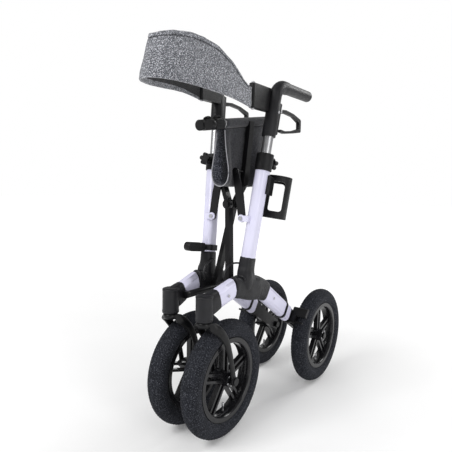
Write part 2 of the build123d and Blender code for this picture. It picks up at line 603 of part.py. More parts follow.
def cup_holder():
    """A cup with two tall opposite windows, on a neck and a half clamp behind the left upright."""
    cup = extrude(UPRIGHT.offset(CUP_LOW) * (Pos(*CUP_AT) * Circle(CUP_R)), CUP_HIGH - CUP_LOW)
    inside = extrude(UPRIGHT.offset(CUP_LOW + 3) * (Pos(*CUP_AT) * Circle(CUP_R - CUP_WALL)), 130)
    clamp = extrude(UPRIGHT.offset(CUP_HIGH - 58) * RectangleRounded(44, 48, 17), 50)
    front_half = UPRIGHT.location * (Pos(0, -23, CUP_HIGH - 33) * Box(60, 50, 60))
    neck = UPRIGHT.location * (Pos(CUP_AT[0] / 2, 34, CUP_HIGH - 33) * Box(20, 26, 50))
    tube_hole = extrude(UPRIGHT.offset(CUP_HIGH - 90) * RectangleRounded(34.1, 38.1, 13), 110)
    window_high = CUP_HIGH - CUP_LOW - WINDOW_LOW - WINDOW_HIGH
    window = Box(200, WINDOW_WIDTH, window_high)
    window = fillet(window.edges().filter_by(Axis.X), 9)
    window = Pos(*CUP_AT, CUP_LOW + WINDOW_LOW + window_high / 2) * Rot(0, 0, WINDOW_TURN) * window
    cage = cup - inside - UPRIGHT.location * window
    mounting = (clamp - front_half) + neck - extrude(UPRIGHT.offset(CUP_LOW) * (
        Pos(*CUP_AT) * Circle(CUP_R - CUP_WALL / 2)), 130)
    return cage + mounting - tube_hole


write("cup_holder", cup_holder())

HOOK_S = 16.0
hook_clamp = extrude(UPRIGHT.offset(HOOK_S - 8) * (RectangleRounded(42, 46, 16) - RectangleRounded(34.1, 38.1, 13)), 16)
hook_clamp = hook_clamp + UPRIGHT.location * (Pos(0, -32, HOOK_S) * Box(6, 22, 16))
HOOK_PIVOT = up_tube(0, -37, HOOK_S)
hook_pin = cylinder(HOOK_PIVOT - Vector(11, 0, 0), HOOK_PIVOT + Vector(11, 0, 0), PIN_R)
hook_clamp = hook_clamp + hook_pin
write("right_hook_clamp", other_side(hook_clamp))
hook_y, hook_z = HOOK_PIVOT.Y, HOOK_PIVOT.Z
hook = side_bar([(hook_y, hook_z), (hook_y - 46, hook_z + 6)], [24, 24], HOOK_PIVOT.X - 10, HOOK_PIVOT.X + 10)
fork_gap = block((HOOK_PIVOT.X - 4.4, hook_y - 14, hook_z - 20), (HOOK_PIVOT.X + 4.4, hook_y + 20, hook_z + 20))
hook = hook - fork_gap - cylinder(HOOK_PIVOT - Vector(15, 0, 0), HOOK_PIVOT + Vector(15, 0, 0), PIN_R + FIT)
write("right_hook", other_side(hook))

# ---- brake cables -------------------------------------------------------------------------------
def cable():
    """The slack loop of brake cable on the inside of the hub."""
    points = [Vector(*point) for point in CABLE_ROUTE]
    radii = []
    for before, corner, after in zip(points, points[1:], points[2:]):
        shorter = min((corner - before).length, (after - corner).length)
        turn = (corner - before).get_angle(after - corner)
        radii.append(0.45 * shorter / sin(radians(turn) / 2) * cos(radians(turn) / 2))
    path = FilletPolyline(*points, radius=radii)
    start = Plane(origin=points[0], z_dir=points[1] - points[0])
    tube = sweep(start * Circle(CABLE_R), path=path)
    print("cable length", round(path.length, 1), "radii", [round(radius, 1) for radius in radii],
          "volume over section times length", round(tube.volume / (pi * CABLE_R**2 * path.length), 4))
    return tube


write_both("brake_cable", cable())
print("fold link length", round(sqrt((LUG_X - LINK_TOP[0]) ** 2 + (LINK_TOP[1] - LUG_Z) ** 2), 1))
print("brace half length", round(sqrt(FOLD_X**2 + (CROSS_Z - FOLD_Z) ** 2), 1),
      "lower angle", round(degrees(atan2(FOLD_X, CROSS_Z - FOLD_Z)), 2))
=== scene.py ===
import bmesh
import bpy
import math
import numpy as np
from mathutils import Matrix, Vector


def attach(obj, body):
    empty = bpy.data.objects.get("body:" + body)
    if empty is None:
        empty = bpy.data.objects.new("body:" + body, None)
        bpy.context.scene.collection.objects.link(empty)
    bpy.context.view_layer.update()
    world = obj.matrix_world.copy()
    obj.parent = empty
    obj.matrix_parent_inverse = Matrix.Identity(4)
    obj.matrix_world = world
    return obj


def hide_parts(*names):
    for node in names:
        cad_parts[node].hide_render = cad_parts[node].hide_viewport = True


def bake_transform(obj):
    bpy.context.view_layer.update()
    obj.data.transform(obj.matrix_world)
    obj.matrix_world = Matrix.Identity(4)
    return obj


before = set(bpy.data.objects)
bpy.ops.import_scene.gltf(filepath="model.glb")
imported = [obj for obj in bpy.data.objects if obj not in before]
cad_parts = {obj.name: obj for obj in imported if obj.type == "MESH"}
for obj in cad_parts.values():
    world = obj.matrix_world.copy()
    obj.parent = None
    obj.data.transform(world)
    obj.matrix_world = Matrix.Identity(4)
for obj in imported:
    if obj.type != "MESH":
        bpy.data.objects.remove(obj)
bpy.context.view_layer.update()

SIDES = (("left", 1), ("right", -1))

# ---- sizes taken from the part, in metres -------------------------------------------------------
WHEEL_R = 0.1525
TYRE_HALF = 0.026
FRONT_WHEEL = (0.055, -0.192)
REAR_WHEEL = (0.102, 0.268)
STEER_Y = -0.275
CASTER_TRAIL = FRONT_WHEEL[1] - STEER_Y
UPRIGHT_FOOT = Vector((0.0668, -0.1107, 0.454))
SPLAY, LEAN = 0.0662, 0.1567     # an upright's run outward and backward for each unit it rises
UP = Vector((SPLAY, LEAN, 1.0)).normalized()
RIGHT_RAISED = 0.037       # the right handle stands this much further out along its upright
UP_RIGHT = Vector((-UP.x, UP.y, UP.z))
ACROSS_UP = Vector((1, 0, -SPLAY))
UP_X = (ACROSS_UP - UP * ACROSS_UP.dot(UP)).normalized()
UP_Y = UP.cross(UP_X)


def up_tube(x, y, z):
    """A point in the left upright's own frame, as a point of the whole."""
    return UPRIGHT_FOOT + UP_X * x + UP_Y * y + UP * z


# ---- materials ----------------------------------------------------------------------------------
class Nodes:
    """A small helper round one material's node tree."""

    def __init__(self, name):
        self.material = bpy.data.materials.new(name)
        self.material.use_nodes = True
        self.tree = self.material.node_tree
        self.shader = self.tree.nodes["Principled BSDF"]
        self.coords = self.add("ShaderNodeTexCoord").outputs["Object"]

    def add(self, kind, **values):
        node = self.tree.nodes.new(kind)
        for key, value in values.items():
            setattr(node, key, value)
        return node

    def link(self, a, b):
        self.tree.links.new(a, b)

    def stretched(self, scale, turn=(0, 0, 0)):
        mapping = self.add("ShaderNodeMapping")
        mapping.inputs["Scale"].default_value = scale
        mapping.inputs["Rotation"].default_value = turn
        self.link(self.coords, mapping.inputs["Vector"])
        return mapping.outputs["Vector"]

    def noise(self, scale, detail=2.0, roughness=0.5, vector=None):
        node = self.add("ShaderNodeTexNoise")
        node.inputs["Scale"].default_value = scale
        node.inputs["Detail"].default_value = detail
        node.inputs["Roughness"].default_value = roughness
        self.link(vector or self.coords, node.inputs["Vector"])
        return node.outputs["Fac"]

    def cells(self, scale, vector=None):
        node = self.add("ShaderNodeTexVoronoi", feature="F1")
        node.inputs["Scale"].default_value = scale
        self.link(vector or self.coords, node.inputs["Vector"])
        return node.outputs["Distance"]

    def ramp(self, factor, stops):
        node = self.add("ShaderNodeValToRGB")
        while len(node.color_ramp.elements) < len(stops):
            node.color_ramp.elements.new(0.5)
        for element, (place, colour) in zip(node.color_ramp.elements, stops):
            element.position = place
            value = colour if isinstance(colour, tuple) else (colour,) * 3
            element.color = (*value, 1)
        self.link(factor, node.inputs["Fac"])
        return node.outputs["Color"]

    def spread(self, factor, low, high):
        node = self.add("ShaderNodeMapRange")
        node.inputs["From Min"].default_value = 0.3
        node.inputs["From Max"].default_value = 0.7
        node.inputs["To Min"].default_value = low
        node.inputs["To Max"].default_value = high
        self.link(factor, node.inputs["Value"])
        return node.outputs["Result"]

    def math(self, operation, a, b):
        node = self.add("ShaderNodeMath", operation=operation)
        for socket, value in zip(node.inputs, (a, b)):
            if isinstance(value, (int, float)):
                socket.default_value = value
            else:
                self.link(value, socket)
        return node.outputs["Value"]

    def mix(self, factor, a, b):
        node = self.add("ShaderNodeMix", data_type="RGBA")
        sockets = [s for s in node.inputs if s.type == "RGBA"]
        self.link(factor, node.inputs["Factor"])
        for socket, value in zip(sockets, (a, b)):
            if isinstance(value, tuple):
                socket.default_value = (*value, 1)
            else:
                self.link(value, socket)
        return [s for s in node.outputs if s.type == "RGBA"][0]

    def bump(self, height, distance, strength):
        node = self.add("ShaderNodeBump")
        node.inputs["Distance"].default_value = distance
        node.inputs["Strength"].default_value = strength
        self.link(height, node.inputs["Height"])
        return node.outputs["Normal"]

    def finish(self, **inputs):
        names = {"colour": "Base Color", "rough": "Roughness", "metal": "Metallic", "normal": "Normal",
                 "coat": "Coat Weight", "coat_rough": "Coat Roughness", "sheen": "Sheen Weight",
                 "sheen_rough": "Sheen Roughness", "specular": "Specular IOR Level",
                 "anisotropic": "Anisotropic"}
        for key, value in inputs.items():
            socket = self.shader.inputs[names[key]]
            if isinstance(value, (int, float)):
                socket.default_value = value
            elif isinstance(value, tuple):
                socket.default_value = (*value, 1)
            else:
                self.link(value, socket)
        return self.material


def paint(name, low, high, rough, coat, grain, specular=0.5):
    """A painted or powder-coated surface: faint mottling, fine orange peel, uneven gloss."""
    n = Nodes(name)
    patches = n.noise(22, 3)
    smudges = n.noise(60, 4, 0.6)
    peel = n.noise(grain, 2)
    return n.finish(colour=n.ramp(patches, [(0.3, low), (0.7, high)]),
                    rough=n.spread(smudges, rough - 0.05, rough + 0.07), specular=specular,
                    coat=coat, coat_rough=0.12, normal=n.bump(peel, 0.0004, 0.25))


def moulded(name, low, high, rough, grain=1300, depth=0.0005, specular=0.45):
    """Injection-moulded plastic with a fine spark-eroded grain."""
    n = Nodes(name)
    patches = n.noise(35, 3)
    pits = n.cells(grain)
    fine = n.noise(grain * 1.7, 2)
    height = n.math("ADD", pits, fine)
    scuffs = n.noise(90, 5, 0.65)
    return n.finish(colour=n.ramp(patches, [(0.3, low), (0.7, high)]),
                    rough=n.spread(scuffs, rough - 0.06, rough + 0.08),
                    specular=specular, normal=n.bump(height, depth, 0.35))


def brushed(name, colour, rough, across):
    """Drawn or turned metal, with fine lines one way."""
    n = Nodes(name)
    lines = n.noise(1, 3, 0.6, n.stretched(across))
    tint = tuple(c * 0.82 for c in colour)
    return n.finish(colour=n.ramp(lines, [(0.25, tint), (0.75, colour)]), metal=1.0,
                    rough=n.spread(lines, rough - 0.06, rough + 0.1),
                    normal=n.bump(lines, 0.0002, 0.3), anisotropic=0.4)


def melange(name, dark, middle, light, scale):
    """A felted melange fabric: dark, mid and pale flecks over a fine plain weave."""
    n = Nodes(name)
    flecks = n.noise(scale, 2, 0.8)
    fine = n.noise(scale * 2.3, 2, 0.6, n.stretched((1, 1, 0.7), (0.3, 0.5, 0.2)))
    mixed = n.math("ADD", n.math("MULTIPLY", flecks, 0.7), n.math("MULTIPLY", fine, 0.3))
    colour = n.ramp(mixed, [(0.40, dark), (0.48, middle), (0.53, middle), (0.61, light)])
    fuzz = n.noise(scale * 3.1, 3, 0.7)
    height = n.math("ADD", mixed, n.math("MULTIPLY", fuzz, 0.5))
    return n.finish(colour=colour, rough=0.95, sheen=0.35, sheen_rough=0.5, specular=0.2,
                    normal=n.bump(height, 0.0016, 0.8))


def woven(name, low, high, scale):
    """A dark coated lining cloth with a fine ripstop weave."""
    n = Nodes(name)
    cells = n.cells(scale, n.stretched((1, 1, 1.6)))
    flecks = n.noise(scale * 0.5, 3, 0.8)
    colour = n.ramp(flecks, [(0.45, low), (0.78, high)])
    return n.finish(colour=colour, rough=0.88, sheen=0.2, specular=0.25, normal=n.bump(cells, 0.001, 0.6))


def tyre_rubber():
    n = Nodes("tyre_rubber")
    dust = n.noise(70, 4, 0.6)
    flecks = n.noise(520, 2, 0.6)
    base = n.ramp(dust, [(0.3, (0.007, 0.008, 0.011)), (0.7, (0.013, 0.0145, 0.020))])
    spots = n.ramp(flecks, [(0.56, 0.0), (0.72, 1.0)])
    spot_mask = n.add("ShaderNodeSeparateColor")
    n.link(spots, spot_mask.inputs["Color"])
    colour = n.mix(spot_mask.outputs["Red"], base, (0.15, 0.155, 0.18))
    pores = n.noise(1500, 3, 0.7)
    return n.finish(colour=colour, rough=0.8, specular=0.18, normal=n.bump(pores, 0.0009, 0.6))


def gloss(name, low, high):
    """Gloss-black lacquer with a faint moulding ripple."""
    n = Nodes(name)
    dust = n.noise(160, 4, 0.7)
    ripple = n.noise(45, 2)
    return n.finish(colour=n.ramp(dust, [(0.35, low), (0.75, high)]),
                    rough=n.spread(dust, 0.14, 0.26), specular=0.25,
                    coat=0.12, coat_rough=0.08, normal=n.bump(ripple, 0.0006, 0.25))


WHITE = paint("white_paint", (0.62, 0.61, 0.76), (0.66, 0.65, 0.80), 0.34, 0.2, 950)
BLACK_METAL = paint("black_paint", (0.003, 0.003, 0.0035), (0.006, 0.006, 0.007), 0.34, 0.04, 1500, 0.22)
CASTING = moulded("casting_black", (0.006, 0.006, 0.0075), (0.011, 0.011, 0.0135), 0.4, 1500, 0.0004, 0.27)
PLASTIC = moulded("black_plastic", (0.003, 0.003, 0.0035), (0.007, 0.007, 0.008), 0.4, specular=0.22)
GRIP = moulded("grip_rubber", (0.005, 0.005, 0.006), (0.010, 0.010, 0.012), 0.42, 1700, 0.0005, 0.25)
STEEL = brushed("steel", (0.5, 0.5, 0.52), 0.34, (1400, 1400, 60))
SILVER = brushed("silver_tube", (0.42, 0.42, 0.43), 0.34, (1500, 1500, 25))
RIM = gloss("gloss_black", (0.006, 0.006, 0.007), (0.013, 0.013, 0.015))
TYRE = tyre_rubber()
FABRIC = melange("grey_melange", (0.018, 0.019, 0.024), (0.13, 0.135, 0.152), (0.66, 0.67, 0.71), 400)
FABRIC_DARK = melange("grey_melange_seat", (0.006, 0.007, 0.011), (0.04, 0.043, 0.056),
                      (0.30, 0.31, 0.37), 330)
LINING = woven("black_lining", (0.008, 0.008, 0.01), (0.02, 0.02, 0.024), 900)
BACKING = woven("black_backing", (0.01, 0.01, 0.013), (0.09, 0.092, 0.105), 700)
# the pale piping colour is a painted highlight: a light line standing in for the shine on the seat cloth's
# front and rear edges
PIPING_PAINTED_HIGHLIGHT = woven("pale_piping_painted_highlight", (0.3, 0.3, 0.32), (0.5, 0.5, 0.53), 1200)
CABLE = moulded("cable_jacket", (0.01, 0.01, 0.011), (0.016, 0.016, 0.018), 0.38, 2200, 0.0002)

node_material = {
    "front_tyre": TYRE, "rear_tyre": TYRE, "front_rim": RIM, "rear_rim": RIM, "fork": BLACK_METAL,
    "caster_axle": BLACK_METAL, "caster_housing": CASTING, "upright_tube": WHITE, "front_leg": WHITE,
    "rear_leg": WHITE, "pivot_brackets": BLACK_METAL, "hub_casting": CASTING, "rear_dropout": BLACK_METAL,
    "rear_axle": BLACK_METAL, "brake_arm": PLASTIC, "height_collar": PLASTIC, "height_knob": PLASTIC,
    "inner_tube": SILVER, "brake_lever": PLASTIC, "handle": GRIP, "backrest_bracket": PLASTIC,
    "frame_screws": STEEL, "fold_link": BLACK_METAL, "brake_cable": CABLE, "brace_arm_front": BLACK_METAL,
    "brace_arm_rear": BLACK_METAL, "seat_rail_left": BLACK_METAL, "seat_rail_right": BLACK_METAL,
    "centre_pivot_bolt": BLACK_METAL, "seat_cloth_left": FABRIC_DARK, "seat_cloth_right": FABRIC_DARK,
    "backrest_band_left": FABRIC, "backrest_band_right": FABRIC, "cup_holder": PLASTIC,
    "right_hook_clamp": PLASTIC, "right_hook": PLASTIC,
}
edge_round = {
    "fork": 0.0015, "upright_tube": 0.0006, "rear_dropout": 0.0015, "brake_arm": 0.0012,
    "height_collar": 0.001, "height_knob": 0.0012, "brake_lever": 0.002, "backrest_bracket": 0.004,
    "fold_link": 0.0008, "brace_arm_front": 0.0012, "brace_arm_rear": 0.0012, "seat_rail_left": 0.001,
    "seat_rail_right": 0.001, "cup_holder": 0.0008, "right_hook_clamp": 0.0008, "right_hook": 0.0025,
    "pivot_brackets": 0.0008, "centre_pivot_bolt": 0.0006, "rear_axle": 0.0006, "caster_axle": 0.0008,
    "front_rim": 0.0012, "rear_rim": 0.0012, "handle": 0.0006, "frame_screws": 0.0004,
}
for node_name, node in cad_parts.items():
    plain = node_name
    for side, _ in SIDES:
        if node_name.startswith(side + "_") and node_name[len(side) + 1:] in node_material:
            plain = node_name[len(side) + 1:]
    node.data.materials.clear()
    node.data.materials.append(node_material[plain])
    width = edge_round.get(plain, 0)
    weld = node.modifiers.new("weld", "WELD")
    weld.merge_threshold = 0.00001
    if width:
        bevel = node.modifiers.new("rounded", "BEVEL")
        bevel.width = width
        bevel.segments = 2
        bevel.limit_method = "ANGLE"
        bevel.angle_limit = math.radians(38)
        bevel.use_clamp_overlap = True


# ---- mesh building ------------------------------------------------------------------------------
def piece(name, verts, faces, body, material, place=None):
    """A new mesh that rides on a body and takes a slot's finish. Several materials may be given."""
    mesh = bpy.data.meshes.new(name)
    mesh.from_pydata([tuple(v) for v in verts], [], [tuple(f) for f in faces])
    bm = bmesh.new()
    bm.from_mesh(mesh)
    bmesh.ops.recalc_face_normals(bm, faces=bm.faces)
    bm.to_mesh(mesh)
    bm.free()
    mesh.polygons.foreach_set("use_smooth", [True] * len(mesh.polygons))
    for one in (material if isinstance(material, (list, tuple)) else [material]):
        mesh.materials.append(one)
    return put(name, mesh, body, place)


def put(name, mesh, body, place=None):
    obj = bpy.data.objects.new(name, mesh)
    bpy.context.scene.collection.objects.link(obj)
    if place is not None:
        obj.matrix_world = place
    if body:
        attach(obj, body)
    return obj


def grid_faces(rows, columns, wrap_rows=False, wrap_columns=False):
    faces = []
    for i in range(rows if wrap_rows else rows - 1):
        for j in range(columns if wrap_columns else columns - 1):
            a, b = i * columns + j, i * columns + (j + 1) % columns
            c, d = (i + 1) % rows * columns + (j + 1) % columns, (i + 1) % rows * columns + j
            faces.append((a, b, c, d))
    return faces


def spline(points, count):
    """Points evenly placed along a smooth curve through the given ones."""
    p = [Vector(q) for q in points]
    p = [p[0] * 2 - p[1]] + p + [p[-1] * 2 - p[-2]]
    fine = []
    for a, b, c, d in zip(p, p[1:], p[2:], p[3:]):
        for k in range(24):
            t = k / 24
            fine.append(0.5 * (b * 2 + (c - a) * t + (a * 2 - b * 5 + c * 4 - d) * t * t
                               + (b * 3 - a - c * 3 + d) * t ** 3))
    fine.append(p[-2])
    run = np.concatenate([[0], np.cumsum([(b - a).length for a, b in zip(fine, fine[1:])])])
    wanted = np.linspace(0, run[-1], count)
    coords = np.array([tuple(q) for q in fine])
    return [Vector(np.array([np.interp(w, run, coords[:, k]) for k in range(3)])) for w in wanted]


def swept(points, wide, deep, side_dir, count=48, around=24, square=2.0, end_round=0.5):
    """Vertices and faces of a bar along a smooth curve, with a rounded-square section and rounded ends.

    wide is its size along side_dir and deep its size across that. Each may be a list over the length."""
    line = spline(points, count)
    widths, depths = [np.interp(np.linspace(0, 1, count), np.linspace(0, 1, len(sizes)), sizes)
                      for sizes in (np.atleast_1d(wide), np.atleast_1d(deep))]
    verts = []
    side = Vector(side_dir).normalized()
    stations = []
    cap = [(math.sin(a), math.cos(a)) for a in np.radians([86, 68, 48, 26])]
    small = min(widths[0], depths[0]) * end_round
    small_end = min(widths[-1], depths[-1]) * end_round
    first, last = (line[1] - line[0]).normalized(), (line[-1] - line[-2]).normalized()
    for s, c in cap:
        stations.append((line[0] - first * small * s, first, widths[0], depths[0], c, small))
    for k, point in enumerate(line):
        ahead, behind = line[min(k + 1, count - 1)], line[max(k - 1, 0)]
        stations.append((point, (ahead - behind).normalized(), widths[k], depths[k], 1.0, 0))
    for s, c in reversed(cap):
        stations.append((line[-1] + last * small_end * s, last, widths[-1], depths[-1], c, small_end))
    for point, along, w, d, shrink, r in stations:
        x = (side - along * side.dot(along)).normalized()
        y = along.cross(x)
        half_w = w / 2 - r + r * shrink if r else w / 2
        half_d = d / 2 - r + r * shrink if r else d / 2
        for j in range(around):
            a = 2 * math.pi * j / around
            ca, sa = math.cos(a), math.sin(a)
            px = math.copysign(abs(ca) ** (2 / square), ca) * half_w
            py = math.copysign(abs(sa) ** (2 / square), sa) * half_d
            verts.append(point + x * px + y * py)
    faces = grid_faces(len(stations), around, wrap_columns=True)
    faces.append(tuple(range(around)))
    faces.append(tuple(range(len(verts) - around, len(verts))))
    return verts, faces


def turned(profile, centre, axis, count=40):
    """A turned piece: (distance along the axis, radius) pairs spun round it, closed at both ends."""
    axis = Vector(axis).normalized()
    x = axis.orthogonal().normalized()
    y = axis.cross(x)
    verts = []
    for along, radius in profile:
        for j in range(count):
            a = 2 * math.pi * j / count
            verts.append(Vector(centre) + axis * along + (x * math.cos(a) + y * math.sin(a)) * radius)
    faces = grid_faces(len(profile), count, wrap_columns=True)
    faces.append(tuple(range(count)))
    faces.append(tuple(range(len(verts) - count, len(verts))))
    return verts, faces


def joined(parts):
    verts, faces = [], []
    for v, f in parts:
        start = len(verts)
        verts += list(v)
        faces += [tuple(i + start for i in face) for face in f]
    return verts, faces


def socket_screw(centre, axis, radius, height):
    """A button-head screw with a hexagon socket, standing on a face."""
    head = [(0, radius), (height * 0.45, radius), (height * 0.85, radius * 0.8), (height, radius * 0.5),
            (height, radius * 0.42), (height * 0.35, radius * 0.38), (height * 0.3, 0.0002)]
    return turned(head, centre, axis, 24)


# ---- camera, floor and light --------------------------------------------------------------------
CAMERA_AT = Vector((0.6876, -1.0530, 0.6550))
YAW, PITCH, ROLL = math.radians(36.41), math.radians(5.82), math.radians(1.25)
forward = Vector((-math.sin(YAW) * math.cos(PITCH), math.cos(YAW) * math.cos(PITCH), -math.sin(PITCH)))
level = Vector((math.cos(YAW), math.sin(YAW), 0))
raised = level.cross(forward)
right = level * math.cos(ROLL) + raised * math.sin(ROLL)
upward = raised * math.cos(ROLL) - level * math.sin(ROLL)
camera_data = bpy.data.cameras.new("camera")
camera_data.lens = 34.34
camera_data.sensor_width = 36
camera = bpy.data.objects.new("camera", camera_data)
camera.matrix_world = Matrix((
    (right.x, upward.x, -forward.x, CAMERA_AT.x),
    (right.y, upward.y, -forward.y, CAMERA_AT.y),
    (right.z, upward.z, -forward.z, CAMERA_AT.z),
    (0, 0, 0, 1)))
bpy.context.scene.collection.objects.link(camera)
bpy.context.scene.camera = camera

FLOOR_NEAR, FLOOR_FAR = 0.12, 0.75     # how strongly the floor glows near the object and far from it
FADE_FROM, FADE_TO = 0.3, 3.5          # distances from the middle, in metres, between which it changes
floor_material = Nodes("pale_floor")
floor_tone = floor_material.ramp(floor_material.noise(3, 3), [(0.3, 0.86), (0.7, 0.89)])
floor_grain = floor_material.bump(floor_material.noise(120, 3), 0.0005, 0.1)
floor_material.finish(colour=floor_tone, rough=0.85, specular=0.2, normal=floor_grain)
floor_material.shader.inputs["Emission Color"].default_value = (1, 1, 1, 1)
floor_far = floor_material.add("ShaderNodeVectorMath", operation="LENGTH")
floor_material.link(floor_material.coords, floor_far.inputs[0])
floor_fade = floor_material.add("ShaderNodeMapRange")
for socket, value in (("From Min", FADE_FROM), ("From Max", FADE_TO),
                      ("To Min", FLOOR_NEAR), ("To Max", FLOOR_FAR)):
    floor_fade.inputs[socket].default_value = value
floor_material.link(floor_far.outputs["Value"], floor_fade.inputs["Value"])
floor_material.link(floor_fade.outputs["Result"], floor_material.shader.inputs["Emission Strength"])
floor_mesh = bpy.data.meshes.new("floor")
FLOOR_HALF, FLOOR_Z = 14.0, -0.0005
floor_mesh.from_pydata([(-FLOOR_HALF, -FLOOR_HALF, FLOOR_Z), (FLOOR_HALF, -FLOOR_HALF, FLOOR_Z),
                        (FLOOR_HALF, FLOOR_HALF, FLOOR_Z), (-FLOOR_HALF, FLOOR_HALF, FLOOR_Z)],
                       [], [(0, 1, 2, 3)])
floor_mesh.materials.append(floor_material.material)
floor = bpy.data.objects.new("floor", floor_mesh)
bpy.context.scene.collection.objects.link(floor)

world = bpy.data.worlds.new("world")
world.use_nodes = True
SKY_LIGHT, SKY_SEEN = 0.42, 1.0        # the sky as a light, and as the backdrop
sky = world.node_tree.nodes["Background"]
sky.inputs["Color"].default_value = (1, 1, 1, 1)
sky_seen = world.node_tree.nodes.new("ShaderNodeLightPath")
sky_range = world.node_tree.nodes.new("ShaderNodeMapRange")
sky_range.inputs["To Min"].default_value = SKY_LIGHT
sky_range.inputs["To Max"].default_value = SKY_SEEN
world.node_tree.links.new(sky_seen.outputs["Is Camera Ray"], sky_range.inputs["Value"])
world.node_tree.links.new(sky_range.outputs["Result"], sky.inputs["Strength"])
bpy.context.scene.world = world


def area_light(name, at, towards, size, energy):
    data = bpy.data.lights.new(name, "AREA")
    data.shape = "RECTANGLE"
    data.size, data.size_y = size
    data.energy = energy
    obj = bpy.data.objects.new(name, data)
    obj.location = at
    obj.rotation_euler = (Vector(towards) - Vector(at)).to_track_quat("-Z", "Y").to_euler()
    bpy.context.scene.collection.objects.link(obj)


MIDDLE = (0, 0, 0.45)
area_light("key", (-0.6, -2.3, 2.3), MIDDLE, (1.2, 1.2), 52)
area_light("fill", (2.5, -0.9, 1.1), MIDDLE, (0.9, 1.6), 20)
area_light("back", (0.9, 2.2, 2.0), MIDDLE, (1.4, 0.9), 26)
bpy.context.scene.view_settings.view_transform = "Standard"

# ---- tyres --------------------------------------------------------------------------------------
TREAD_DEPTH = 0.0024
TYRE_WALL = 0.005
BLOCKS_ROUND = 84
AROUND = BLOCKS_ROUND * 5
ACROSS = 61
ROW_PITCH = math.radians(11.5)     # one row of tread blocks, as an angle round the tyre's section
TREAD_TO = math.radians(66)        # where the tread ends
SHOULDER_AT, SIDE_RIB_AT = math.radians(76), math.radians(112)
RIB_HIGH = 0.0006
BEAD_ANGLE = math.radians(135)
SECTION_R = WHEEL_R - TYRE_HALF


def tyre_mesh():
    """A pneumatic tyre about the X axis: staggered tread blocks, ribbed shoulders, plain sidewalls."""
    theta = np.arange(AROUND) * 2 * np.pi / AROUND
    phi = np.linspace(-BEAD_ANGLE, BEAD_ANGLE, ACROSS)
    t, p = np.meshgrid(theta, phi, indexing="ij")
    rows = np.floor((p + BEAD_ANGLE) / ROW_PITCH).astype(int)
    slant = np.where(rows % 2 == 0, 0.0, 0.5) + 0.18 * np.sin(p * 2.2)
    u = (t * BLOCKS_ROUND / (2 * np.pi) + slant) % 1
    v = ((p + BEAD_ANGLE) / ROW_PITCH) % 1
    edge = np.minimum(np.minimum(u, 1 - u) / 0.2, np.minimum(v, 1 - v) / 0.22)
    block = np.clip(edge, 0, 1) ** 0.7
    tread = np.clip((TREAD_TO - np.abs(p)) / math.radians(5), 0, 1)
    shoulder = np.exp(-((np.abs(p) - SHOULDER_AT) / math.radians(3.5)) ** 2)
    rib = np.exp(-((np.abs(p) - SIDE_RIB_AT) / math.radians(2.5)) ** 2)
    radius = TYRE_HALF - TREAD_DEPTH * tread * (1 - block) - 0.0009 * (1 - tread)
    radius = radius + RIB_HIGH * shoulder + RIB_HIGH * rib
    radius = np.minimum(radius, TYRE_HALF)
    inner_phi = np.linspace(BEAD_ANGLE * 0.96, -BEAD_ANGLE * 0.96, 14)
    inner_t, inner_p = np.meshgrid(theta, inner_phi, indexing="ij")
    t = np.concatenate([t, inner_t], 1)
    p = np.concatenate([p, inner_p], 1)
    radius = np.concatenate([radius, np.full(inner_p.shape, TYRE_HALF - TYRE_WALL)], 1)
    reach = SECTION_R + radius * np.cos(p)
    x = radius * np.sin(p)
    verts = np.stack([x, -reach * np.sin(t), reach * np.cos(t)], -1).reshape(-1, 3)
    faces = grid_faces(AROUND, t.shape[1], wrap_rows=True, wrap_columns=True)
    mesh = bpy.data.meshes.new("tyre")
    mesh.from_pydata(verts.tolist(), [], faces)
    mesh.polygons.foreach_set("use_smooth", [True] * len(mesh.polygons))
    mesh.materials.append(TYRE)
    mesh.update()
    return mesh


shared_tyre = tyre_mesh()


def valve_mesh():
    """A valve stem with its cap, standing inwards from the rim's inner face."""
    return turned([(0, 0.0034), (0.004, 0.003), (0.012, 0.0026), (0.013, 0.0034), (0.021, 0.0034),
                   (0.024, 0.0026), (0.0245, 0.001)], (0, 0, -0.0915), (0, 0, 1), 16)


HUB_SCREWS = 5
HUB_FACE_X, HUB_SCREW_RING = 0.0235, 0.0145


for side, sign in SIDES:
    for end, (x, y) in (("front", FRONT_WHEEL), ("rear", REAR_WHEEL)):
        place = Matrix.Translation((sign * x, y, WHEEL_R))
        tyre = put(f"{side}_{end}_tyre_tread", shared_tyre, f"{side}_{end}_wheel", place)
        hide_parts(f"{side}_{end}_tyre")
        details = [valve_mesh()]
        for k in range(HUB_SCREWS):
            a = 2 * math.pi * (k + 0.5) / HUB_SCREWS
            at = (sign * HUB_FACE_X, HUB_SCREW_RING * math.sin(a), HUB_SCREW_RING * math.cos(a))
            details.append(socket_screw(at, (sign, 0, 0), 0.0028, 0.0022))
        verts, faces = joined(details)
        piece(f"{side}_{end}_wheel_details", verts, faces, f"{side}_{end}_wheel", STEEL,
              place=place)

# ---- forks --------------------------------------------------------------------------------------
FORK_X = FRONT_WHEEL[0]
FORK_REACH = 0.033                 # from the wheel's middle to the middle of a fork arm
